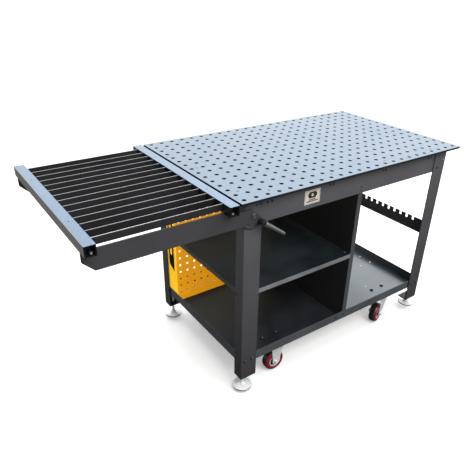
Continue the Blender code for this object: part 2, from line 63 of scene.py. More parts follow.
LOBE_R = 50.5 * MM
ENDS = (("front", -1), ("rear", 1))

FACING = {
    "down": Matrix.Rotation(math.pi, 4, "X"),
    "front": Matrix.Rotation(math.pi / 2, 4, "X"),
    "rear": Matrix.Rotation(-math.pi / 2, 4, "X"),
    "left": Matrix.Rotation(-math.pi / 2, 4, "Y"),
    "right": Matrix.Rotation(math.pi / 2, 4, "Y"),
}
# an outline's (u, v) laid out as (x, z) or (y, z)
ON_XZ = Matrix.Rotation(math.pi / 2, 4, "X")
ON_YZ = Matrix(((0, 0, 1, 0), (1, 0, 0, 0), (0, 1, 0, 0), (0, 0, 0, 1)))


def shift(x, y, z):
    return Matrix.Translation((x, y, z))


def joint_place(name):
    return Vector(JOINTS[name]["pos_m"])


def end_face(name, side):
    """The y of a CAD node's front (side -1) or rear (side 1) face."""
    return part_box(name)[(side + 1) // 2].y


PIVOT = joint_place("extension_fold")


# ---------------------------------------------------------------- finishes
def add_node(tree, kind, inputs=None, **settings):
    made = tree.nodes.new("ShaderNode" + kind)
    for key, value in settings.items():
        setattr(made, key, value)
    for key, value in (inputs or {}).items():
        if isinstance(value, bpy.types.NodeSocket):
            tree.links.new(value, made.inputs[key])
        else:
            made.inputs[key].default_value = value
    return made


def pattern(tree, scale, detail=2.0, stretch=(1.0, 1.0, 1.0)):
    """Noise over the object's own coordinates, in features per metre, stretched along its axes."""
    coords = add_node(tree, "TexCoord")
    place = add_node(tree, "Mapping", {"Vector": coords.outputs["Object"], "Scale": stretch})
    noise = add_node(tree, "TexNoise", {"Vector": place.outputs[0], "Scale": scale, "Detail": detail})
    return noise.outputs["Fac"]


def spread(tree, source, low, high, out_low=0.0, out_high=1.0):
    """Maps low to out_low and high to out_high, and holds what lies beyond them."""
    inputs = {"Value": source, "From Min": low, "From Max": high, "To Min": out_low, "To Max": out_high}
    return add_node(tree, "MapRange", inputs).outputs[0]


def blend_colours(tree, factor, one, other):
    mixer = add_node(tree, "Mix", data_type="RGBA")
    for socket, value in ((mixer.inputs[0], factor), (mixer.inputs[6], one), (mixer.inputs[7], other)):
        if isinstance(value, bpy.types.NodeSocket):
            tree.links.new(value, socket)
        else:
            socket.default_value = value
    return mixer.outputs[2]


def compute(tree, operation, one, other=0.0):
    return add_node(tree, "Math", {0: one, 1: other}, operation=operation).outputs[0]


def own_normal(tree):
    """The surface normal along the object's own axes, so that it stays with a piece that turns."""
    normal = add_node(tree, "NewGeometry").outputs["Normal"]
    kinds = {"vector_type": "NORMAL", "convert_from": "WORLD", "convert_to": "OBJECT"}
    turned = add_node(tree, "VectorTransform", {"Vector": normal}, **kinds)
    return add_node(tree, "SeparateXYZ", {0: turned.outputs["Vector"]}).outputs


def shade(colour, factor):
    return tuple(min(1.0, channel * factor) for channel in colour) + (1.0,)


DUST = (0.30, 0.29, 0.27, 1.0)
# colour of the painted shadow that the arm's lobe throws on the leg
LOBE_SHADOW_COLOUR = (0.004, 0.004, 0.005, 1.0)


def finish(
    name, colour, rough, metal=0.0, ior=1.5, clouds=(5.0, 0.12), peel=(700.0, 0.25, 0.00025), brushed=None,
    scuffs=0.0, dust=0.0, coat=0.0, sides=None, ends=None, tint=None, painted_height_shade=None, ring=None, bounce=None,
):
    """A finish with cloudy tone, a fine bumpy surface, and if asked brush lines, scuffs and dust.

    clouds = (scale, depth) and peel = (scale, strength, depth) are the tone and the bumps; brushed is the
    stretch of the brush lines. sides and ends are painted light and shade: other colours for the faces that
    do not look up and for those that look along Y, lighter or darker as the light falls on them. tint
    colours the gloss. fade = (z0, z1, gain0, gain1) is painted shade towards the floor and painted light
    higher up, more on faces that look along X. ring = (centre, radius, width) is a painted shadow, a dark
    ring about an axis along Y. bounce is the colour that the finish throws on its neighbours.
    """
    made = bpy.data.materials.new(name)
    made.use_nodes = True
    tree = made.node_tree
    shader = tree.nodes["Principled BSDF"]
    plain = {"Metallic": metal, "IOR": ior, "Coat Weight": coat, "Coat Roughness": 0.08}
    for key, value in plain.items():
        shader.inputs[key].default_value = value
    if tint:
        shader.inputs["Specular Tint"].default_value = (*tint, 1.0)

    cloud_scale, cloud_depth = clouds
    cloud = pattern(tree, cloud_scale, 4.0)
    tone = spread(tree, cloud, 0.35, 0.65)

    def clouded(base):
        return blend_colours(tree, tone, shade(base, 1 - cloud_depth), shade(base, 1 + cloud_depth))

    look = clouded(colour)
    fine = pattern(tree, 180.0, 3.0)
    speck = spread(tree, fine, 0.3, 0.7, 0.0, 0.35)
    look = blend_colours(tree, speck, look, shade(colour, 1.25))
    roughness = spread(tree, cloud, 0.3, 0.7, rough * 0.85, rough * 1.15)

    peel_scale, peel_strength, peel_depth = peel
    height = pattern(tree, peel_scale, 2.0)
    if brushed:
        lines = pattern(tree, 1.0, 3.0, brushed)
        height = compute(tree, "ADD", height, lines)
        look = blend_colours(tree, spread(tree, lines, 0.3, 0.7, 0.0, 0.5), look, shade(colour, 0.82))
        swing = spread(tree, lines, 0.3, 0.7, -0.08, 0.08)
        roughness = compute(tree, "ADD", roughness, swing)
    if scuffs:
        streak = pattern(tree, 9.0, 6.0, (1.0, 14.0, 4.0))
        mark = spread(tree, streak, 0.62, 0.72, 0.0, scuffs)
        look = blend_colours(tree, mark, look, shade(colour, 1.9))
        roughness = compute(tree, "ADD", roughness, mark)
    # painted light and shade: a lit or a shaded colour for each way a face looks
    if sides:
        facing = own_normal(tree)
        other = clouded(sides)
        if ends:
            along = compute(tree, "ABSOLUTE", facing["Y"])
            other = blend_colours(tree, spread(tree, along, 0.4, 0.7), other, clouded(ends))
        look = blend_colours(tree, spread(tree, facing["Z"], 0.45, 0.75), other, look)
    if dust:
        upward = own_normal(tree)["Z"]
        film = compute(tree, "MULTIPLY", spread(tree, upward, 0.5, 1.0, 0.0, dust), tone)
        look = blend_colours(tree, film, look, DUST)
    # painted shade towards the floor and painted light higher up, more on faces that look along X
    if painted_height_shade:
        z0, z1, gain0, gain1 = painted_height_shade
        spot = add_node(tree, "TexCoord").outputs["Object"]
        level = add_node(tree, "SeparateXYZ", {0: spot}).outputs["Z"]
        gain = spread(tree, level, z0, z1, gain0, gain1)
        power = compute(tree, "ADD", compute(tree, "ABSOLUTE", own_normal(tree)["X"]), 1.0)
        gain = compute(tree, "POWER", gain, power)
        look = add_node(tree, "VectorMath", {0: look, "Scale": gain}, operation="SCALE").outputs["Vector"]
    # painted shadow: a dark ring round the arm's pivot, along the lobe's edge
    if ring:
        centre, radius, width = ring
        spot = add_node(tree, "TexCoord").outputs["Object"]
        offset = add_node(tree, "VectorMath", {0: spot, 1: centre}, operation="SUBTRACT").outputs["Vector"]
        flat = add_node(tree, "VectorMath", {0: offset, 1: (1.0, 0.0, 1.0)}, operation="MULTIPLY")
        away = add_node(tree, "VectorMath", {0: flat.outputs["Vector"]}, operation="LENGTH").outputs["Value"]
        rise = spread(tree, away, radius - width / 2, radius, 0.0, 0.92)
        fall = spread(tree, away, radius + width / 2, radius + width, 1.0, 0.0)
        look = blend_colours(tree, compute(tree, "MULTIPLY", rise, fall), look, LOBE_SHADOW_COLOUR)
    if bounce:
        seen = add_node(tree, "LightPath").outputs["Is Camera Ray"]
        look = blend_colours(tree, seen, (*bounce, 1.0), look)
    bump = add_node(tree, "Bump", {"Height": height, "Strength": peel_strength, "Distance": peel_depth})
    tree.links.new(look, shader.inputs["Base Color"])
    tree.links.new(roughness, shader.inputs["Roughness"])
    tree.links.new(bump.outputs["Normal"], shader.inputs["Normal"])
    return made


POWDER = finish("powder_coat", (0.070, 0.071, 0.077), 0.40, scuffs=0.05, dust=0.05)
POWDER_ARM = finish("powder_coat_arm", (0.044, 0.044, 0.048), 0.46, scuffs=0.05, dust=0.05)
POWDER_APRON = finish("powder_coat_apron", (0.088, 0.088, 0.097), 0.40, scuffs=0.05, dust=0.05)
# The legs' faces that look up, their foot plates, are near black: painted shade. The legs also get painted
# shade towards the floor and the painted shadow of the arm's lobe.
LEG_LOOK = {
    "sides": (0.072, 0.073, 0.079),
    "ends": (0.072, 0.073, 0.079),
    "painted_height_shade": (0.12, 0.75, 0.56, 1.20),
    # painted shadow of the arm's lobe on the left legs
    "ring": (tuple(PIVOT), LOBE_R, 6.6 * MM),
}
POWDER_LEG = finish("powder_coat_leg", (0.012, 0.012, 0.013), 0.42, **LEG_LOOK)
# Slats: the light top edges are a painted highlight and the dark faces painted shade.
POWDER_SLAT = finish("slat_edge", (0.28, 0.28, 0.29), 0.42, scuffs=0.10, sides=(0.0155, 0.0155, 0.017))
# The trays, shelf and divider stand in the bays: their colours, darker than the frame's powder coat, are
# painted shade, and their lighter front and rear rims (ends) are painted light.
TRAY_LOOK = {"clouds": (7.0, 0.30), "scuffs": 0.10, "dust": 0.02, "tint": (0.83, 0.95, 1.0)}
TRAY_RIMS = {"sides": (0.016, 0.016, 0.017), "ends": (0.050, 0.050, 0.056)}
POWDER_TRAY = finish("powder_coat_tray", (0.016, 0.018, 0.023), 0.33, ior=2.35, **TRAY_RIMS, **TRAY_LOOK)
SHELF_RIMS = {"sides": (0.030, 0.030, 0.031), "ends": (0.185, 0.187, 0.200)}
POWDER_SHELF = finish("powder_coat_shelf", (0.012, 0.017, 0.021), 0.40, ior=1.85, **SHELF_RIMS, **TRAY_LOOK)
DIVIDER_RIMS = {"sides": (0.010, 0.010, 0.011), "ends": (0.056, 0.058, 0.062)}
POWDER_DIVIDER = finish("powder_coat_divider", (0.012, 0.012, 0.014), 0.50, **DIVIDER_RIMS)
STEEL_LOOK = {
    "rough": 0.36,
    "metal": 0.85,
    "clouds": (3.0, 0.10),
    "peel": (420.0, 0.12, 0.0002),
    "scuffs": 0.06,
    "brushed": (14.0, 900.0, 60.0),
}
# The top's edges and other faces that do not look up are darker: painted shade.
WORKTOP = finish("worktop_steel", (0.172, 0.224, 0.286), sides=(0.044, 0.044, 0.048), **STEEL_LOOK)
# The crossbars' end faces are near black: painted shade. The outer bar's light grey sides are painted light,
# and the inner bar's dark sides painted shade.
BAR_LOOK = {"colour": (0.176, 0.240, 0.322), "ends": (0.02, 0.02, 0.02), **STEEL_LOOK}
CROSSBAR = finish("crossbar_steel", sides=(0.42, 0.41, 0.39), **BAR_LOOK)
CROSSBAR_INNER_SHADED = finish("crossbar_steel_shaded", sides=(0.05, 0.05, 0.052), **BAR_LOOK)
# One yellow paint: the deeper orange of the panel's face (ends) is painted shade, and the brighter yellow of
# its folded sides painted light.
YELLOW_LOOK = {
    "clouds": (6.0, 0.05),
    "scuffs": 0.03,
    "sides": (1.0, 0.56, 0.006),
    "ends": (0.90, 0.36, 0.004),
    "bounce": (0.16, 0.105, 0.045),
}
YELLOW = finish("yellow_coat", (0.95, 0.50, 0.006), 0.42, **YELLOW_LOOK)
ZINC_LOOK = {"metal": 0.15, "clouds": (30.0, 0.10), "peel": (300.0, 0.15, 0.0002)}
ZINC = finish("zinc_plate", (0.80, 0.88, 0.86), 0.30, **ZINC_LOOK)
# The chrome's near-white colour with little metal is a painted reflection of the white surroundings.
CHROME_LOOK = {"metal": 0.15, "clouds": (20.0, 0.04), "peel": (250.0, 0.05, 0.0001)}
CHROME = finish("chrome_plate", (0.94, 0.97, 0.97), 0.20, **CHROME_LOOK)
WHEEL_RED = finish("wheel_red", (0.26, 0.003, 0.022), 0.30, clouds=(40.0, 0.12), coat=0.3)
TYRE = finish("tyre_black", (0.012, 0.012, 0.014), 0.34, clouds=(40.0, 0.2), scuffs=0.1)
LEVER_BLACK = finish("lever_black", (0.010, 0.010, 0.011), 0.38, clouds=(60.0, 0.2))
LEVER_LOOK = {"metal": 0.7, "clouds": (50.0, 0.12), "peel": (900.0, 0.3, 0.0002)}
LEVER_GREY = finish("lever_grey", (0.15, 0.155, 0.16), 0.36, **LEVER_LOOK)
PLATE_LOOK = {"metal": 0.20, "clouds": (40.0, 0.06), "brushed": (20.0, 20.0, 1500.0)}
PLATE = finish("nameplate_metal", (0.86, 0.77, 0.66), 0.34, **PLATE_LOOK)
PRINT = finish("nameplate_print", (0.016, 0.014, 0.013), 0.45, clouds=(60.0, 0.2))
BOLT = finish("bolt_dark", (0.045, 0.046, 0.050), 0.30, metal=0.8, clouds=(80.0, 0.2))
BOLT_GREY = finish("bolt_grey", (0.15, 0.155, 0.165), 0.34, metal=0.8, clouds=(80.0, 0.2))
BOLT_BRIGHT = finish("bolt_bright", (0.42, 0.43, 0.44), 0.26, metal=0.95, clouds=(80.0, 0.15))
# painted shadow: a near-black finish for sheets and faces put where there is only shade
SHADOW = finish("painted_shadow", (0.006, 0.006, 0.007), 0.7, clouds=(60.0, 0.2))


# ---------------------------------------------------------------- mesh tools
def add_object(name, data):
    obj = bpy.data.objects.new(name, data)
    bpy.context.scene.collection.objects.link(obj)
    return obj


def tidy(bm, name, angle=32.0):
    bmesh.ops.remove_doubles(bm, verts=bm.verts, dist=2e-6)
    bmesh.ops.recalc_face_normals(bm, faces=bm.faces)
    mesh = bpy.data.meshes.new(name)
    bm.to_mesh(mesh)
    bm.free()
    mesh.shade_smooth()
    mesh.set_sharp_from_angle(angle=math.radians(angle))
    return mesh


def piece(name, bm, look, body, stands_for=(), angle=32.0):
    """Makes a mesh object from bm, in its finish, that rides on a CAD body and may stand for nodes."""
    mesh = tidy(bm, name, angle)
    mesh.materials.append(look)
    obj = add_object(name, mesh)
    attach(obj, body)
    if stands_for:
        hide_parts(*stands_for)
    return obj


def round_edges(obj, width, angle=40.0):
    step = obj.modifiers.new("rounded_edges", "BEVEL")
    step.width = width
    step.segments = 2
    step.limit_method = "ANGLE"
    step.angle_limit = math.radians(angle)


def outline_of(radius, sides, angle):
    """Distance of a circle (sides 0) or a regular polygon from its middle, in a direction."""
    if not sides:
        return radius
    sector = 2 * math.pi / sides
    inside = (angle % sector) - sector / 2
    return radius * math.cos(sector / 2) / math.cos(inside)


def stitch(bm, one, other):
    """Faces between two rings of the same number of points."""
    for k in range(len(one)):
        following = (k + 1) % len(one)
        bm.faces.new((one[k], other[k], other[following], one[following]))


def lathe(bm, profile, place, steps=48):
    """Turns a closed profile of (radius, height) about Z. A third value makes that ring a polygon."""
    rings = []
    for radius, height, *shape in profile:
        sides = shape[0] if shape else 0
        if radius <= 0.0:
            rings.append([bm.verts.new(place @ Vector((0, 0, height)))])
            continue
        ring = []
        for k in range(steps):
            angle = 2 * math.pi * k / steps
            reach = outline_of(radius, sides, angle)
            spot = Vector((reach * math.cos(angle), reach * math.sin(angle), height))
            ring.append(bm.verts.new(place @ spot))
        rings.append(ring)
    if len(rings[0]) > 1 and len(rings[-1]) > 1:
        rings.append(rings[0])
    for one, other in zip(rings, rings[1:]):
        if len(one) > 1 and len(other) > 1:
            stitch(bm, one, other)
        elif len(one) > 1:
            for k in range(steps):
                bm.faces.new((one[k], other[0], one[(k + 1) % steps]))
        elif len(other) > 1:
            for k in range(steps):
                bm.faces.new((one[0], other[k], other[(k + 1) % steps]))


def mm(*points):
    """A profile's points given in millimetres, with any number of sides left as it is."""
    return [(radius * MM, height * MM, *sides) for radius, height, *sides in points]


def rod(bm, place, radius, low, high, steps=32):
    """A washer, pin or cutting tool between two heights along its place's Z."""
    lathe(bm, [(0, low), (radius, low), (radius, high), (0, high)], place, steps)


def arc(u, v, radius, start, end, steps):
    span = (end - start) / steps
    return [
        (u + radius * math.cos(start + span * k), v + radius * math.sin(start + span * k))
        for k in range(steps + 1)
    ]


def circle(u, v, radius, steps=32):
    return arc(u, v, radius, 0.0, 2 * math.pi, steps)[:-1]


def oblong(u0, u1, v0, v1, radius, steps=6):
    """A rectangle with round corners."""
    corners = ((u1, v1, 0.0), (u0, v1, 0.5), (u0, v0, 1.0), (u1, v0, 1.5))
    points = []
    for u, v, turn in corners:
        middle_u = u - radius if u == u1 else u + radius
        middle_v = v - radius if v == v1 else v + radius
        start = turn * math.pi
        points += arc(middle_u, middle_v, radius, start, start + math.pi / 2, steps)
    return points


def sheet(bm, loops, depth, place):
    """A flat outline with holes, as thick as depth, centred on its plane."""
    curve = bpy.data.curves.new("outline", "CURVE")
    curve.dimensions = "2D"
    curve.fill_mode = "BOTH"
    curve.extrude = depth / 2
    for loop in loops:
        spline = curve.splines.new("POLY")
        spline.points.add(len(loop) - 1)
        for point, (u, v) in zip(spline.points, loop):
            point.co = (u, v, 0.0, 1.0)
        spline.use_cyclic_u = True
    guide = add_object("outline", curve)
    bpy.context.view_layer.update()
    graph = bpy.context.evaluated_depsgraph_get()
    solid = bpy.data.meshes.new_from_object(guide.evaluated_get(graph))
    bpy.data.objects.remove(guide, do_unlink=True)
    solid.transform(place)
    bm.from_mesh(solid)
    bpy.data.meshes.remove(solid)


def block(bm, low, high):
    size = Matrix.Diagonal((*(Vector(high) - Vector(low)), 1.0))
    middle = Matrix.Translation((Vector(low) + Vector(high)) / 2)
    bmesh.ops.create_cube(bm, size=1.0, matrix=middle @ size)


def at(x, y, z):
    """A place given from the middle of the main top's plan."""
    return shift(MID_X + x, y, z)


# ---------------------------------------------------------------- fasteners
def hex_bolt(bm, place, radius, washer=True):
    """A hexagon head with its chamfer, on a washer, standing on its place along local Z."""
    base = 0.0
    if washer:
        base = 1.3 * MM
        flat = [(0, 0), (radius * 1.45, 0), (radius * 1.45, 1.0 * MM), (radius * 1.36, base), (0, base)]
        lathe(bm, flat, place)
    top = base + radius * 0.66
    dish = top - 0.25 * MM
    head = [(0, base), (radius * 1.1, base, 6), (radius * 1.1, top - radius * 0.13, 6)]
    head += [(radius * 0.93, top), (radius * 0.62, top), (radius * 0.55, dish), (0, dish)]
    lathe(bm, head, place, 24)


def button_screw(bm, place, radius):
    """A low domed head with a hexagon socket."""
    socket, floor = radius * 0.42, radius * 0.20
    head = [(0, 0), (radius, 0), (radius, radius * 0.12)]
    for degrees in range(12, 61, 12):
        angle = math.radians(degrees)
        head.append((radius * math.cos(angle), radius * (0.12 + 0.42 * math.sin(angle))))
    head += [(socket * 1.15, radius * 0.54), (socket, radius * 0.52, 6), (socket, floor, 6), (0, floor)]
    lathe(bm, head, place, 24)


def hex_nut(bm, place, radius, height, bore):
    nut = [(bore, 0), (radius * 0.92, 0), (radius, height * 0.12, 6), (radius, height * 0.88, 6)]
    nut += [(radius * 0.92, height), (bore * 1.15, height), (bore, height * 0.93)]
    lathe(bm, nut, place, 24)


def cutter(name, bm):
    """A mesh that only serves Booleans."""
    obj = add_object(name, tidy(bm, name))
    obj.hide_render = True
    obj.display_type = "WIRE"
    return obj


def soften(name, look, width=0.7 * MM, tool=None):
    """Keeps a CAD node, with rounded edges, cut-outs if asked, and its finish."""
    node = NODES[name]
    weld = node.modifiers.new("weld", "WELD")
    weld.merge_threshold = 1e-5
    if tool:
        cut = node.modifiers.new("cut_outs", "BOOLEAN")
        cut.operation = "DIFFERENCE"
        cut.solver = "EXACT"
        cut.object = tool
    round_edges(node, width)
    node.modifiers.new("even_normals", "WEIGHTED_NORMAL")
    for place in node.material_slots:
        place.material = look


# ---------------------------------------------------------------- perforated sheets
def perforated(bm, place, cols, rows, pitch, radius, bevel, thickness, edges, steps=32):
    """A sheet of square cells with one round hole each, its outer cells stretched to the sheet's edges.

    The sheet lies in local XY, its first cell's hole at the origin, and its upper side at z = 0.
    edges = (left, right, lower, upper) edges of the sheet.
    """
    half = pitch / 2
    left, right, lower, upper = edges
    first, last_u, last_v = -half, (cols - 1) * pitch + half, (rows - 1) * pitch + half

    def outer(u, v):
        u = left if abs(u - first) < 1e-7 else right if abs(u - last_u) < 1e-7 else u
        v = lower if abs(v - first) < 1e-7 else upper if abs(v - last_v) < 1e-7 else v
        return u, v

    wide = radius + bevel
    levels = [(None, 0.0), (wide, 0.0), (radius, -bevel)]
    levels += [(radius, bevel - thickness), (wide, -thickness), (None, -thickness)]
    for i in range(cols):
        for j in range(rows):
            rings = []
            for reach, height in levels:
                ring = []
                for k in range(steps):
                    angle = 2 * math.pi * k / steps
                    c, s = math.cos(angle), math.sin(angle)
                    if reach is None:
                        scale = half / max(abs(c), abs(s))
                        u, v = outer(i * pitch + c * scale, j * pitch + s * scale)
                    else:
                        u, v = i * pitch + c * reach, j * pitch + s * reach
                    ring.append(bm.verts.new(place @ Vector((u, v, height))))
                rings.append(ring)
            for one, other in zip(rings, rings[1:]):
                stitch(bm, one, other)
    bmesh.ops.remove_doubles(bm, verts=bm.verts, dist=2e-6)
    rim = [edge for edge in bm.edges if edge.is_boundary]
    bmesh.ops.bridge_loops(bm, edges=rim)


HOLE_PITCH = 50.8 * MM
HOLES_X, HOLES_Y = 24, 15
HOLE_R = 8.0 * MM
TOP_T = TOP_HIGH.z - TOP_LOW.z


def build_worktop():
    bm = bmesh.new()
    first = shift(TOP_LOW.x + HOLE_PITCH / 2, TOP_LOW.y + HOLE_PITCH / 2, TOP_HIGH.z)
    half = HOLE_PITCH / 2
    edges = (-half, HOLES_X * HOLE_PITCH - half, -half, HOLES_Y * HOLE_PITCH - half)
    perforated(bm, first, HOLES_X, HOLES_Y, HOLE_PITCH, HOLE_R, 0.6 * MM, TOP_T, edges)
    worktop = piece("worktop", bm, WORKTOP, "base", ["table_top"], 25.0)
    # painted shade: the holes' walls and chamfers take the near-black shadow finish
    worktop.data.materials.append(SHADOW)
    rim = 5 * MM
    for face in worktop.data.polygons:
        x, y, _ = face.center
        inside = TOP_LOW.x + rim < x < TOP_HIGH.x - rim and TOP_LOW.y + rim < y < TOP_HIGH.y - rim
        if inside and abs(face.normal.z) < 0.9:
            face.material_index = 1
    round_edges(worktop, 0.9 * MM, 70.0)


def build_worktop_screws():
    """Countersunk screws between the top's holes, 0.2 mm proud of it."""
    bm = bmesh.new()
    # in hole pitches from the middle of the top
    spots = [(k * 3, side * 6.5) for k in (-3, -1, 1, 3) for side in (-1, 1)]
    spots += [(side * 11, k * 5.5) for k in (-1, 0, 1) for side in (-1, 1)]
    spots += [(0, side * 4.5) for side in (-1, 1)]
    spots += [(5, side * 2.5) for side in (-1, 1)]
    profile = mm((0, -2), (5.2, -2), (5.2, 0.02), (4.8, 0.18))
    profile += mm((2.6, 0.18), (2.4, 0.1, 6), (2.4, -1.6, 6), (0, -1.6))
    for across, along in spots:
        lathe(bm, profile, at(across * HOLE_PITCH, along * HOLE_PITCH, TOP_HIGH.z), 24)
    piece("worktop_screws", bm, BOLT, "base")


def bend(bm, corner, radius, thickness, start, z0, z1):
    """A quarter-round fold of sheet metal standing upright, round a corner's (x, y)."""
    outer = arc(corner[0], corner[1], radius, start, start + math.pi / 2, 8)
    inner = arc(corner[0], corner[1], radius - thickness, start + math.pi / 2, start, 8)
    sheet(bm, [outer + inner], z1 - z0, shift(0, 0, (z0 + z1) / 2))


PANEL_PITCH = 38.1 * MM
PANEL_COLS, PANEL_ROWS = 15, 16
PANEL_HOLE_R = 5.2 * MM
PANEL_T = 2.0 * MM
PANEL_FIRST = (-543.0 * MM, 204.2 * MM)
PANEL_BEND = 3.2 * MM


def build_tool_panel():
    """The perforated rear panel, folded back along both sides, with the hanging slot in its left side."""
    low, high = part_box("pegboard")
    bm = bmesh.new()
    first_x, first_z = MID_X + PANEL_FIRST[0], PANEL_FIRST[1]
    # local X runs along +X, local Y up, and the sheet's face looks to -Y
    place = shift(first_x, low.y, first_z) @ FACING["front"]
    left, right = low.x + PANEL_BEND, high.x - PANEL_BEND
    edges = (left - first_x, right - first_x, low.z - first_z, high.z - first_z)
    perforated(bm, place, PANEL_COLS, PANEL_ROWS, PANEL_PITCH, PANEL_HOLE_R, 0.35 * MM, PANEL_T, edges, 24)
    fold_y = low.y + PANEL_BEND
    bend(bm, (left, fold_y), PANEL_BEND, PANEL_T, math.pi, low.z, high.z)
    bend(bm, (right, fold_y), PANEL_BEND, PANEL_T, 1.5 * math.pi, low.z, high.z)
    slot_front, slot_rear = low.y + 20 * MM, low.y + 72 * MM
    tongue_front, tongue_rear = low.y + 40 * MM, low.y + 56 * MM
    slot_low, slot_high = 312 * MM, 690 * MM
    tongue_low = 398 * MM
    slot = [(slot_front, slot_low), (slot_rear, slot_low + 26 * MM), (slot_rear, slot_high)]
    slot += [(tongue_rear, slot_high)]
    tongue_middle, tongue_r = (tongue_front + tongue_rear) / 2, (tongue_rear - tongue_front) / 2
    slot += arc(tongue_middle, tongue_low + tongue_r, tongue_r, 0.0, -math.pi, 10)
    slot += [(tongue_front, slot_high), (slot_front, slot_high)]
    for x, holes in ((low.x, [slot]), (high.x - PANEL_T, [])):
        face = oblong(fold_y, high.y, low.z, high.z, 0.5 * MM, 2)
        sheet(bm, [face] + holes, PANEL_T, shift(x + PANEL_T / 2, 0, 0) @ ON_YZ)
    piece("tool_panel", bm, YELLOW, "base", ["pegboard"])


# ---------------------------------------------------------------- frame
# places from the middle of the top's plan and from the floor
APRON_SLOT_Z = 873 * MM
APRON_SLOTS = (-457.2 * MM, -152.4 * MM, 152.4 * MM, 457.2 * MM)
TRAY_HOLES = ((0.452, -0.044), (0.528, -0.044), (0.528, 0.032), (0.452, 0.032), (0.321, -0.208))
LEG_HOLE_X, LEG_HOLE_Z = 0.521, 0.8755
LEG_SCREWS_X, LEG_SCREW_Z = (-0.5535, -0.5175, 0.5175, 0.5535), 0.1735
APRON_SCREW = (0.521, 0.8160)
APRON_BOLT = (0.5560, 0.8475)
DIVIDER_FOOT_X, DIVIDER_FOOT_Z = (-0.026, 0.024), 0.176
DIVIDER_HEAD_X, DIVIDER_HEAD_Z = 0.0232, (0.8245, 0.8095)
SIDE_SCREW_Y = 0.2985
# height, and how far the head is sunk: the folded crossbar passes the upper one
SIDE_SCREWS = ((0.718, 2.0 * MM), (0.494, 0.0), (0.176, 0.0))
CASTER_X, CASTER_Y = 0.3546, 0.284
CASTER_SLOT_X, CASTER_SLOT_Y = 37.8 * MM, 34 * MM
SHELF_BOLT_X, SHELF_BOLTS_Y = 0.0116, (-0.304, 0.17)


def apron_slots(y):
    bm = bmesh.new()
    for middle in APRON_SLOTS:
        for side in (-1, 1):
            x = MID_X + middle + side * 9.5 * MM
            low_z, high_z = APRON_SLOT_Z - 5.5 * MM, APRON_SLOT_Z + 5.5 * MM
            hole = oblong(x - 3.2 * MM, x + 3.2 * MM, low_z, high_z, 3.1 * MM)
            sheet(bm, [hole], 12 * MM, shift(0, y, 0) @ ON_XZ)
    return cutter("apron_slot_tool", bm)


def tray_holes():
    """Mounting holes in the right half of the lower tray."""
    bm = bmesh.new()
    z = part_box("lower_tray")[0].z
    for x, y in TRAY_HOLES:
        rod(bm, at(x, y, z), 4.2 * MM, -6 * MM, 6 * MM, 24)
    return cutter("tray_hole_tool", bm)


def leg_holes(facing, side):
    bm = bmesh.new()
    for x in (-LEG_HOLE_X, LEG_HOLE_X):
        spot = at(x, side * abs(FRONT_Y), LEG_HOLE_Z) @ FACING[facing]
        rod(bm, spot, 3.4 * MM, -9 * MM, 9 * MM, 24)
    return cutter(f"{facing}_leg_holes", bm)


def build_frame():
    for facing, side in ENDS:
        holes = leg_holes(facing, side)
        for tag in ("l", "r"):
            soften(f"leg_{facing[0]}{tag}", POWDER_LEG, 0.8 * MM, holes)
    for facing, side in ENDS:
        soften(f"apron_{facing}", POWDER_APRON, 0.6 * MM, apron_slots(side * abs(APRON_Y)))
    soften("apron_left", POWDER)
    soften("apron_right", POWDER)
    soften("lower_tray", POWDER_TRAY, 0.6 * MM, tray_holes())
    soften("shelf_tray", POWDER_SHELF, 0.6 * MM)
    soften("divider_panel", POWDER_DIVIDER, 0.6 * MM)
    soften("tool_rack", POWDER_ARM, 0.6 * MM)


def build_apron_slot_shade():
    """Dark plates behind the paired slots of the front and rear aprons: painted shade seen through the
    slots.
    """
    bm = bmesh.new()
    thick = 1.5 * MM
    for side in (-1, 1):
        y = side * (abs(APRON_Y) - 3 * MM - thick / 2)
        for middle in APRON_SLOTS:
            tab = oblong(-17 * MM, 17 * MM, -10 * MM, 10 * MM, 3 * MM)
            sheet(bm, [tab], thick, at(middle, y, APRON_SLOT_Z) @ ON_XZ)
    piece("apron_tabs", bm, SHADOW, "base")


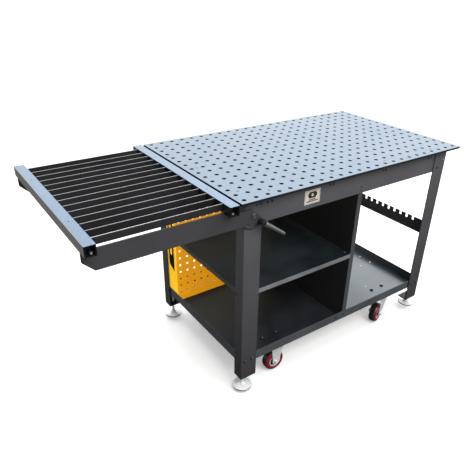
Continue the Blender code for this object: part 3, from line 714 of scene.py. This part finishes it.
def build_frame_bolts():
    dark = bmesh.new()
    bright = bmesh.new()
    painted_highlight = mm((0, 0), (2.9, 0), (2.6, 0.5), (0, 0.7))
    for facing, side in ENDS:
        y, rim_y = side * abs(FRONT_Y), side * abs(APRON_Y)
        for x in LEG_SCREWS_X:
            button_screw(dark, at(x, y, LEG_SCREW_Z) @ FACING[facing], 6.6 * MM)
            # painted highlight: a bright disc over each leg screw's head, set off up and to the side
            spot = at(x + 1.5 * MM, y + side * 3.1 * MM, LEG_SCREW_Z + 1.5 * MM)
            lathe(bright, painted_highlight, spot @ FACING[facing], 16)
        x, z = APRON_SCREW
        button_screw(dark, at(x, y, z) @ FACING[facing], 5.2 * MM)
        x, z = APRON_BOLT
        hex_bolt(bright, at(x, y, z) @ FACING[facing], 5.0 * MM)
        for x in DIVIDER_FOOT_X:
            button_screw(dark, at(x, rim_y, DIVIDER_FOOT_Z) @ FACING[facing], 4.6 * MM)
        for z in DIVIDER_HEAD_Z:
            button_screw(dark, at(DIVIDER_HEAD_X, rim_y, z) @ FACING[facing], 3.6 * MM)
    for facing, side in (("left", -1), ("right", 1)):
        for y in (-SIDE_SCREW_Y, SIDE_SCREW_Y):
            for z, sunk in SIDE_SCREWS:
                button_screw(dark, at(side * (MID_X - SIDE_X - sunk), y, z) @ FACING[facing], 4.6 * MM)
    tray_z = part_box("lower_tray")[0].z + 2 * MM
    stud = mm((0, 0), (3.4, 0), (3.4, 8.6), (2.6, 9.6), (0, 9.6))
    for x in (-CASTER_X, CASTER_X):
        for y in (-CASTER_Y, CASTER_Y):
            for dx in (-CASTER_SLOT_X, CASTER_SLOT_X):
                for dy in (-CASTER_SLOT_Y, CASTER_SLOT_Y):
                    spot = at(x + dx, y + dy, tray_z)
                    rod(dark, spot, 9.5 * MM, 0, 1.6 * MM)
                    hex_bolt(dark, spot, 6.8 * MM)
                    lathe(bright, stud, spot, 16)
    shelf_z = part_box("shelf_tray")[0].z + 12 * MM
    for y in SHELF_BOLTS_Y:
        hex_bolt(bright, at(SHELF_BOLT_X, y, shelf_z) @ FACING["left"], 4.8 * MM)
    piece("frame_bolts", dark, BOLT, "base")
    piece("frame_bolts_bright", bright, BOLT_BRIGHT, "base")


def build_nameplate():
    """A plain plate with a dark border line, and a six-sided ring over two bars."""
    low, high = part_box("nameplate")
    middle = (low + high) / 2
    half_w, half_h = (high.x - low.x) / 2, (high.z - low.z) / 2
    thick, raised = high.y - low.y, 0.2 * MM

    def border(margin, radius):
        return oblong(margin - half_w, half_w - margin, margin - half_h, half_h - margin, radius)

    bm = bmesh.new()
    place = shift(middle.x, low.y + (thick + raised) / 2, middle.z) @ ON_XZ
    sheet(bm, [border(0.0, 3 * MM)], thick - raised, place)
    plate = piece("nameplate_blank", bm, PLATE, "base", ["nameplate"])
    round_edges(plate, 0.25 * MM)
    marks = bmesh.new()
    face = shift(middle.x, low.y + raised / 2, middle.z) @ ON_XZ
    sheet(marks, [border(2.6 * MM, 2 * MM), border(3.4 * MM, 1.5 * MM)], raised, face)
    emblem = mm((-24, 8), (-16, -5), (16, -5), (24, 8), (16, 21), (-16, 21))
    sheet(marks, [emblem, circle(0, 8 * MM, 6 * MM)], raised, face)
    for v, half in ((-11.0 * MM, 17 * MM), (-17.5 * MM, 30 * MM)):
        sheet(marks, [oblong(-half, half, v - 2 * MM, v + 2 * MM, 1.2 * MM)], raised, face)
    piece("nameplate_marks", marks, PRINT, "base")


# ---------------------------------------------------------------- extension
def arm_outline(tag):
    """Side plate as (x, z): rail, lobe about the pivot, and tabs that rise into the crossbars."""
    low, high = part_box(f"arm_{tag}")
    outer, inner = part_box("crossbar_outer"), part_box("crossbar_inner")
    bottom, chamfer = 808.5 * MM, 37 * MM
    seat, rail = outer[0].z - 0.3 * MM, 882.5 * MM
    neck_x, neck_z = MID_X - 546 * MM, 869 * MM
    clear, wall = 1.5 * MM, 4.5 * MM

    def tab(bar):
        """The seat right of a crossbar, and the tab inside it."""
        left, right = bar[0].x + wall, bar[1].x - wall
        return [(bar[1].x + clear, seat), (right, seat), (right, high.z), (left, high.z), (left, seat)]

    start = math.pi - math.asin((bottom - PIVOT.z) / LOBE_R)
    points = [(low.x, bottom + chamfer), (low.x + chamfer, bottom)]
    points += arc(PIVOT.x, PIVOT.z, LOBE_R, start, math.radians(333), 40)
    points += [(neck_x, neck_z), (inner[1].x + clear, neck_z)] + tab(inner)
    points += [(inner[0].x - clear, seat), (inner[0].x - clear, rail), (outer[1].x + clear, rail)]
    return points + tab(outer) + [(low.x, seat)]


def arm_slot():
    """The round-ended arc slot that the clamp's stud runs in."""
    stud = joint_place("clamp_front") - PIVOT
    reach, half = math.hypot(stud.x, stud.z), 5.6 * MM
    spare = math.radians(1.5)
    start = math.atan2(stud.z, stud.x) + spare
    end = start - math.radians(90.0) - 2 * spare

    def cap(angle, turn):
        u = PIVOT.x + reach * math.cos(angle)
        v = PIVOT.z + reach * math.sin(angle)
        return arc(u, v, half, turn, turn - math.pi, 12)[1:-1]

    outer = arc(PIVOT.x, PIVOT.z, reach + half, start, end, 32)
    inner = arc(PIVOT.x, PIVOT.z, reach - half, end, start, 32)
    return outer + cap(end, end) + inner + cap(start, start - math.pi)


def build_extension():
    for tag, _ in ENDS:
        low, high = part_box(f"arm_{tag}")
        bm = bmesh.new()
        loops = [arm_outline(tag), circle(PIVOT.x, PIVOT.z, 6.3 * MM), arm_slot()]
        place = shift(0, (low.y + high.y) / 2, 0) @ ON_XZ
        sheet(bm, loops, high.y - low.y, place)
        arm = piece(f"side_arm_{tag}", bm, POWDER_ARM, "extension", [f"arm_{tag}"], 25.0)
        round_edges(arm, 0.6 * MM)
    soften("crossbar_outer", CROSSBAR, 0.9 * MM)
    soften("crossbar_inner", CROSSBAR_INNER_SHADED, 0.9 * MM)
    for k in range(14):
        soften(f"slat_{k + 1:02d}", POWDER_SLAT, 0.4 * MM)
    build_bar_fittings()


def build_bar_fittings():
    """Flush screws in the crossbars, and in their open ends dark painted shade with the bolt of the arm."""
    screws, bolts, end_shade = bmesh.new(), bmesh.new(), bmesh.new()
    wall, skin, play = 3.1 * MM, 0.5 * MM, 0.3 * MM
    screw = mm((0, -1), (3.4, -1), (3.4, 0.1), (3.1, 0.25), (1.6, 0.25), (1.5, -0.6, 6), (0, -0.6))
    for name, bolt_shift in (("crossbar_outer", 3 * MM), ("crossbar_inner", -6 * MM)):
        low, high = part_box(name)
        x = (low.x + high.x) / 2
        for y in (-0.203, 0.203):
            lathe(screws, screw, shift(x, y, high.z), 24)
        left, right, top = low.x + wall, high.x - wall, high.z - wall
        for tag, side in ENDS:
            back_y = end_face(f"arm_{tag}", side) + side * 0.8 * MM
            end_y = end_face(name, side)
            # painted shade: a near-black plate over the arm's tab and a near-black tube inside the bar's end
            block(end_shade, (left, back_y - skin, low.z), (right, back_y + skin, top))
            tube = [oblong(left, right, low.z, top, 0.6 * MM, 2)]
            tube.append(oblong(left + skin, right - skin, low.z + skin, top - skin, 0.3 * MM, 2))
            tube_y = (back_y + side * 2 * skin + end_y - side * play) / 2
            depth = abs(end_y - back_y) - 2 * skin - play
            sheet(end_shade, tube, depth, shift(0, tube_y, 0) @ ON_XZ)
            seat = shift(x + bolt_shift, back_y + side * skin, low.z + 11 * MM) @ FACING[tag]
            shank = abs(end_y - back_y) - 7 * MM
            rod(bolts, seat, 3 * MM, 0, shank, 16)
            hex_bolt(bolts, seat @ shift(0, 0, shank), 4.6 * MM, False)
    piece("crossbar_screws", screws, BOLT, "extension")
    piece("crossbar_bolts", bolts, BOLT_BRIGHT, "extension")
    piece("crossbar_lining", end_shade, SHADOW, "extension")


def shank_profile(radius, depth, rise):
    """A shank that hangs from z = 0 by its depth, chamfered over a rise; its upper end is open."""
    return [(0, -depth), (radius - 0.6 * MM, -depth), (radius, rise - depth), (radius, 0)]


def build_pivot_bolts():
    for tag, side in ENDS:
        low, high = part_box(f"pivot_bolt_{tag}")
        place = shift(PIVOT.x, end_face(f"arm_{tag}", side), PIVOT.z) @ FACING[tag]
        bm = bmesh.new()
        hex_bolt(bm, place, 7.4 * MM)
        lathe(bm, shank_profile(6 * MM, high.y - low.y - 8 * MM, 0.6 * MM), place)
        piece(f"pivot_{tag}", bm, BOLT_GREY, "base", [f"pivot_bolt_{tag}"])


LEVER_HUB = mm((0, 0), (10, 0), (10.75, 1), (10.75, 6), (12.5, 8), (12.5, 24), (11.625, 26), (10, 27))
LEVER_HUB += mm((4.6, 27), (4.4, 26.4, 6), (4.4, 22, 6), (0, 22))
LEVER_NECK = mm((0, 0), (10.5, 0), (10, 14), (0, 14))
LEVER_FERRULE = mm((0, 11), (10.6, 11), (11.6, 12), (11.6, 13.2), (10.6, 14.2), (0, 14.2))
LEVER_RIDGE = mm((0, 14), (10.176, 14), (10.752, 15.2), (10.176, 16.6), (9.6, 17.2))
LEVER_ROOT = 16 * MM


def grip_profile(length):
    """A ridge, a taper, and a domed end."""
    wide, start = LEVER_RIDGE[-1]
    slim, dome = 6.4 * MM, length - 5 * MM
    profile = list(LEVER_RIDGE)
    for k in range(1, 9):
        profile.append((wide + (slim - wide) * k / 9, start + (length - 23 * MM) * k / 9))
    return profile + arc(0, dome, slim, 0, math.pi / 2, 6)[:-1] + [(0, dome + slim)]


def build_levers():
    for tag, side in ENDS:
        body, node = f"lever_{tag}", f"clamp_lever_{tag}"
        low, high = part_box(node)
        stud = joint_place(f"clamp_{tag}")
        face = end_face(f"arm_{tag}", side) + side * 0.3 * MM
        place = shift(stud.x, face, stud.z) @ FACING[tag]
        root = Vector((stud.x, face + side * LEVER_ROOT, stud.z))
        tip = Vector((high.x - 5 * MM, end_face(node, side) - side * 6 * MM, low.z + 5 * MM))
        reach = tip - root
        slanted = Matrix.Translation(root) @ reach.to_track_quat("Z", "Y").to_matrix().to_4x4()
        hub, grip, ferrule, thread = bmesh.new(), bmesh.new(), bmesh.new(), bmesh.new()
        lathe(hub, LEVER_HUB, place)
        lathe(hub, LEVER_NECK, slanted)
        piece(f"lever_hub_{tag}", hub, LEVER_BLACK, body)
        lathe(grip, grip_profile(reach.length), slanted)
        piece(f"lever_grip_{tag}", grip, LEVER_GREY, body, [node])
        lathe(ferrule, LEVER_FERRULE, slanted)
        piece(f"lever_ferrule_{tag}", ferrule, BOLT_BRIGHT, body)
        lathe(thread, shank_profile(5 * MM, abs(face) - abs(end_face(node, -side)), 0.8 * MM), place)
        piece(f"lever_stud_{tag}", thread, BOLT_BRIGHT, body)


# ---------------------------------------------------------------- levelling feet
def threaded_rod(bm, place, radius, z0, z1, pitch, steps=24):
    """A rod whose surface follows a helical thread."""
    depth = pitch * 0.28
    rows = int((z1 - z0) / pitch * 6)
    rings = []
    for row in range(rows + 1):
        z = z0 + (z1 - z0) * row / rows
        ring = []
        for k in range(steps):
            angle = 2 * math.pi * k / steps
            phase = (z / pitch - k / steps) % 1.0
            r = radius - depth * abs(2 * phase - 1)
            ring.append(bm.verts.new(place @ Vector((r * math.cos(angle), r * math.sin(angle), z))))
        rings.append(ring)
    for one, other in zip(rings, rings[1:]):
        stitch(bm, one, other)
    bm.faces.new(list(reversed(rings[0])))
    bm.faces.new(rings[-1])


FOOT_COLLAR = mm((0, 0), (7.2, 0), (9.6, 2, 6), (9.6, 7, 6), (8.6, 8), (0, 8))
LOCK_NUT_Z = 70.5 * MM


def build_feet():
    for tag in ("fl", "fr", "rl", "rr"):
        low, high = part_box(f"foot_pad_{tag}")
        x, y = (low.x + high.x) / 2, (low.y + high.y) / 2
        place = shift(x, y, low.z)
        # radius and height of the pad in millimetres
        r, top = (high.x - low.x) / 2 / MM, (high.z - low.z) / MM
        tread, pad, screw, lock = bmesh.new(), bmesh.new(), bmesh.new(), bmesh.new()
        profile = mm((0, 0.6), (r - 5, 0.6), (r - 4, 0), (r - 1.4, 0), (r - 0.4, 1), (r, 4.6))
        lathe(tread, profile + mm((r - 0.6, 5.4), (0, 5.4)), place, 96)
        piece(f"foot_tread_{tag}", tread, TYRE, f"foot_{tag}", (), 20.0)
        profile = mm((0, 5.6), (r - 2.4, 5.6), (r - 0.8, 5.8), (r - 0.6, 6.2), (r - 1.4, 6.8))
        profile += mm((r * 0.80, 8.2), (r * 0.60, 9.8), (r * 0.42, 11.4), (r * 0.34, 13.4))
        profile += mm((r * 0.31, top - 1.4), (r * 0.28, top - 0.3), (r * 0.24, top), (0, top))
        lathe(pad, profile, place, 96)
        piece(f"foot_disc_{tag}", pad, CHROME, f"foot_{tag}", [f"foot_pad_{tag}"], 20.0)
        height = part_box(f"foot_screw_{tag}")[1].z - low.z
        threaded_rod(screw, place, 5.95 * MM, (top + 1) * MM, height, 1.75 * MM)
        lathe(screw, FOOT_COLLAR, place @ shift(0, 0, top * MM), 24)
        piece(f"foot_stem_{tag}", screw, ZINC, f"foot_{tag}", [f"foot_screw_{tag}"])
        hex_nut(lock, shift(x, y, LOCK_NUT_Z), 10.4 * MM, 9.2 * MM, 6.1 * MM)
        piece(f"foot_lock_nut_{tag}", lock, ZINC, "base")


# ---------------------------------------------------------------- casters
# half-sections in millimetres, from the bore outwards: NEAR is the side that faces out from the table
# On the inward side the black tyre reaches in to a radius of 42 mm, where on the outward side the red ring
# runs out to the tread: that black band on the inward side is painted shade.
TYRE_NEAR = ((41, 9.6), (49.2, 9.6), (50, 8.6))
TYRE_FAR = ((41, 18.4), (43.5, 18.8), (46.8, 16.2), (49, 13), (50, 8.6))
RING_NEAR = ((30, 16), (33, 18.4), (40, 19.8), (43.5, 18.8), (46.6, 16.2), (48.6, 13), (49.4, 9.8))
RING_FAR = ((30, 16), (33, 18.4), (41.5, 19.2), (42.5, 18.2))
COVER = ((25, 13), (26, 17.8), (30, 18.2), (31.8, 15.8))
HUB = ((5.4, 20), (11, 20), (12.5, 18.5), (14, 14.5), (16, 11), (26, 11))
# finish, slot, steps round the wheel, and the two half-sections
WHEEL_PARTS = {
    "tyre": (TYRE, "tyre_black", 96, TYRE_NEAR, TYRE_FAR),
    "ring": (WHEEL_RED, "wheel_red", 96, RING_NEAR, RING_FAR),
    "cover": (ZINC, "zinc_plate", 72, COVER, COVER),
    "hub": (LEVER_BLACK, "lever_black", 72, HUB, HUB),
}
RIGID_REACH = (-26 * MM, 44 * MM, 12 * MM)
SWIVEL_REACH = (-40 * MM, 54 * MM, 44 * MM)


def wheel_place(tag):
    joint = JOINTS[f"roll_{tag}"]
    axis = Vector(joint["axis"]).to_track_quat("Z", "Y").to_matrix().to_4x4()
    return Matrix.Translation(joint["pos_m"]) @ axis


def build_wheel(tag):
    place = wheel_place(tag)
    out = 1 if JOINTS[f"roll_{tag}"]["axis"][1] * place.translation.y > 0 else -1
    for part, (look, slot, steps, near, far) in WHEEL_PARTS.items():
        section = [(r, out * z) for r, z in mm(*near)]
        section += [(r, -out * z) for r, z in reversed(mm(*far))]
        bm = bmesh.new()
        lathe(bm, section, place, steps)
        stands_for = [f"caster_wheel_{tag}"] if part == "tyre" else ()
        piece(f"wheel_{part}_{tag}", bm, look, f"wheel_{tag}", stands_for, 25.0)


def build_axle(tag, body):
    bm = bmesh.new()
    place = wheel_place(tag)
    outside = 25.8 * MM
    rod(bm, place, 5 * MM, -outside, outside, 48)
    hex_bolt(bm, place @ shift(0, 0, outside), 8.2 * MM)
    other = place @ FACING["down"] @ shift(0, 0, outside)
    hex_nut(bm, other, 9.2 * MM, 7 * MM, 4.2 * MM)
    lathe(bm, mm((0, 0), (4.6, 0), (4.6, 8), (4, 8.6), (0, 8.6)), other, 24)
    piece(f"wheel_axle_{tag}", bm, ZINC, body, [f"caster_axle_{tag}"])


def fork_cheek(offset, axle_z, top, reach):
    """Side of a pressed fork: round about the axle, flaring up to its crown."""
    back, front, brow = reach
    corner = 8 * MM
    low = arc(offset, axle_z, 17 * MM, math.radians(188), math.radians(352), 20)
    right = arc(front - corner, top - brow, corner, math.radians(-60), math.radians(0), 6)
    left = arc(back + corner, top - 14 * MM, corner, math.radians(120), math.radians(200), 6)
    return low + right + [(front, top), (back + 2 * MM, top)] + left


def add_fork(bm, place, offset, axle_z, top, reach):
    """Two cheeks, each with a pressed rib."""
    thick, inner, raised = 3 * MM, 22.5 * MM, 1.4 * MM
    loops = [fork_cheek(offset, axle_z, top, reach), circle(offset, axle_z, 5.3 * MM, 24)]
    rib_x, rib_z, half = offset * 0.4, (axle_z + top) / 2, 9 * MM
    rib = oblong(rib_x - half, rib_x + half, rib_z - 4 * MM, rib_z + 18 * MM, 4 * MM)
    for side in (-1, 1):
        cheek = shift(0, side * (inner + thick / 2), 0)
        sheet(bm, loops, thick, place @ cheek @ ON_XZ)
        sheet(bm, [rib], raised, place @ shift(0, side * (inner + thick), 0) @ ON_XZ)


def caster_plate(bm, place, top):
    """The bolt-on plate, with a round-ended slot by each corner."""
    half_l, half_w = 50 * MM, 43 * MM
    loops = [oblong(-half_l, half_l, -half_w, half_w, 6 * MM)]
    for u in (-CASTER_SLOT_X, CASTER_SLOT_X):
        for v in (-CASTER_SLOT_Y, CASTER_SLOT_Y):
            loops.append(oblong(u - 6 * MM, u + 6 * MM, v - 4.4 * MM, v + 4.4 * MM, 4.3 * MM))
    sheet(bm, loops, 3 * MM, place @ shift(0, 0, top - 1.5 * MM))


def caster_nuts(tag, place, top):
    """Washers, nuts and bolt ends under the plate."""
    bm = bmesh.new()
    for x in (-CASTER_SLOT_X, CASTER_SLOT_X):
        for y in (-CASTER_SLOT_Y, CASTER_SLOT_Y):
            spot = place @ shift(x, y, top - 3 * MM) @ FACING["down"]
            rod(bm, spot, 8 * MM, 0, 1.2 * MM)
            hex_nut(bm, spot @ shift(0, 0, 1.2 * MM), 7 * MM, 5.4 * MM, 3.4 * MM)
            lathe(bm, mm((0, 0), (3.8, 0), (3.8, 8.4), (0, 9.2)), spot, 24)
    piece(f"caster_nuts_{tag}", bm, BOLT_BRIGHT, "base")


def build_rigid_caster(tag):
    wheel = joint_place(f"roll_{tag}")
    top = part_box(f"caster_bracket_{tag}")[1].z
    place = shift(wheel.x, wheel.y, 0)
    bm = bmesh.new()
    caster_plate(bm, place, top)
    add_fork(bm, place, 0.0, wheel.z, top - 3 * MM, RIGID_REACH)
    bracket = piece(f"rigid_fork_{tag}", bm, ZINC, "base", [f"caster_bracket_{tag}"])
    round_edges(bracket, 0.7 * MM)
    caster_nuts(tag, place, top)
    build_axle(tag, "base")


def build_swivel_caster(tag):
    wheel, swivel = joint_place(f"roll_{tag}"), joint_place(f"swivel_{tag}")
    low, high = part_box(f"caster_mount_{tag}")
    place = shift(swivel.x, swivel.y, 0)
    bm = bmesh.new()
    caster_plate(bm, place, high.z)
    race = [(0, high.z - 3 * MM), (27 * MM, high.z - 3 * MM), (28 * MM, high.z - 6 * MM)]
    race += [(26 * MM, low.z + 2 * MM), (24 * MM, low.z), (0, low.z)]
    lathe(bm, race, place, 72)
    mount = piece(f"swivel_plate_{tag}", bm, ZINC, "base", [f"caster_mount_{tag}"])
    round_edges(mount, 0.6 * MM)
    caster_nuts(tag, place, high.z)
    heading = wheel - swivel
    turned = place @ Matrix.Rotation(math.atan2(heading.y, heading.x), 4, "Z")
    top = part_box(f"caster_yoke_{tag}")[1].z
    yoke = bmesh.new()
    crown = [(0, top), (27 * MM, top), (30 * MM, top - 1.2 * MM), (30 * MM, top - 4 * MM), (0, top - 4 * MM)]
    lathe(yoke, crown, turned, 72)
    add_fork(yoke, turned, math.hypot(heading.x, heading.y), wheel.z, top - 2 * MM, SWIVEL_REACH)
    fork = piece(f"swivel_fork_{tag}", yoke, ZINC, f"swivel_{tag}", [f"caster_yoke_{tag}"])
    round_edges(fork, 0.7 * MM)
    build_axle(tag, f"swivel_{tag}")


def build_casters():
    for tag in ("fl", "fr", "rl", "rr"):
        build_wheel(tag)
        build_caster = build_swivel_caster if f"swivel_{tag}" in JOINTS else build_rigid_caster
        build_caster(tag)


# ---------------------------------------------------------------- stage
FLOOR_LIFT = 0.31
FLOOR_PALE = ((0.90, 0.895, 0.885, 1.0), (0.93, 0.925, 0.915, 1.0))
FLOOR_BOUNCE = (0.14, 0.137, 0.133, 1.0)
SKY_MIDDLE = 1.05
SKY_SLOPE = (1.0, 0.77, 0.0)
SKY_DIMMEST = 0.35
SKY_BRIGHTEST = 2.2
CAMERA_AT = (-1.22464, -1.63330, 1.59909)
CAMERA_RIGHT = Vector((0.81276612, -0.58201065, 0.0259775))
CAMERA_UP = Vector((0.26511018, 0.4091904, 0.87308637))
CAMERA_LENS = 38.15
CAMERA_SHIFT = (-0.02816, 0.02586)


def build_floor():
    """A pale floor that runs to white in the open; it throws less light back up than it shows."""
    bm = bmesh.new()
    bmesh.ops.create_grid(bm, x_segments=1, y_segments=1, size=40.0)
    mesh = tidy(bm, "floor")
    floor = add_object("floor", mesh)
    look = bpy.data.materials.new("floor")
    look.use_nodes = True
    tree = look.node_tree
    shader = tree.nodes["Principled BSDF"]
    shader.inputs["Roughness"].default_value = 0.6
    shader.inputs["Specular IOR Level"].default_value = 0.1
    seen = add_node(tree, "LightPath").outputs["Is Camera Ray"]
    grain = spread(tree, pattern(tree, 60.0, 3.0), 0.3, 0.7)
    pale = blend_colours(tree, grain, *FLOOR_PALE)
    tree.links.new(blend_colours(tree, seen, FLOOR_BOUNCE, pale), shader.inputs["Base Color"])
    shader.inputs["Emission Color"].default_value = (1.0, 0.995, 0.985, 1.0)
    tree.links.new(compute(tree, "MULTIPLY", seen, FLOOR_LIFT), shader.inputs["Emission Strength"])
    mesh.materials.append(look)


def build_world():
    """Soft studio surroundings: brightest behind the table and to its right, plain white to the camera."""
    world = bpy.data.worlds.new("studio")
    bpy.context.scene.world = world
    world.use_nodes = True
    tree = world.node_tree
    backdrop = tree.nodes["Background"]
    direction = add_node(tree, "TexCoord").outputs["Generated"]
    towards = add_node(tree, "VectorMath", {0: direction, 1: SKY_SLOPE}, operation="DOT_PRODUCT")
    sky = compute(tree, "ADD", towards.outputs["Value"], SKY_MIDDLE)
    limits = {"Value": sky, "Min": SKY_DIMMEST, "Max": SKY_BRIGHTEST}
    glow = add_node(tree, "Clamp", limits).outputs[0]
    seen = add_node(tree, "LightPath").outputs["Is Camera Ray"]
    strength = add_node(tree, "Mix", {0: seen, 2: glow, 3: 1.0})
    backdrop.inputs["Color"].default_value = (0.98, 0.99, 1.0, 1.0)
    tree.links.new(strength.outputs[0], backdrop.inputs["Strength"])


def add_light(name, place, target, size, power):
    data = bpy.data.lights.new(name, "AREA")
    data.shape = "RECTANGLE"
    data.size, data.size_y = size
    data.energy = power
    lamp = add_object(name, data)
    lamp.location = place
    aim = Vector(target) - Vector(place)
    lamp.rotation_euler = aim.to_track_quat("-Z", "Y").to_euler()
    return lamp


def light_only(lamp, name):
    """Lets a lamp light one object and nothing else."""
    chosen = bpy.data.collections.new(lamp.name + "_receivers")
    chosen.objects.link(bpy.data.objects[name])
    lamp.light_linking.receiver_collection = chosen
    lamp.light_linking.blocker_collection = chosen


def build_camera():
    data = bpy.data.cameras.new("camera")
    data.sensor_width = 36.0
    data.lens = CAMERA_LENS
    data.shift_x, data.shift_y = CAMERA_SHIFT
    camera = add_object("camera", data)
    back = CAMERA_RIGHT.cross(CAMERA_UP)
    turn = Matrix((CAMERA_RIGHT, CAMERA_UP, back)).transposed().to_4x4()
    camera.matrix_world = Matrix.Translation(CAMERA_AT) @ turn
    bpy.context.scene.camera = camera


build_worktop()
build_worktop_screws()
build_tool_panel()
build_frame()
build_apron_slot_shade()
build_frame_bolts()
build_nameplate()
build_extension()
build_pivot_bolts()
build_levers()
build_feet()
build_casters()
build_floor()
build_world()
add_light("overhead", (MID_X, 0.3, 3.4), (MID_X, 0.0, 0.6), (3.2, 2.4), 60.0)
add_light("key", (MID_X - 0.2, -2.2, 2.6), (MID_X - 0.15, -0.35, 0.6), (2.0, 1.2), 54.0)
panel_light = add_light("panel", (MID_X - 2.5, -1.6, 0.8), (MID_X - 0.4, 0.2, 0.4), (1.4, 1.0), 75.0)
light_only(panel_light, "tool_panel")
build_camera()
bpy.context.scene.view_settings.view_transform = "Standard"
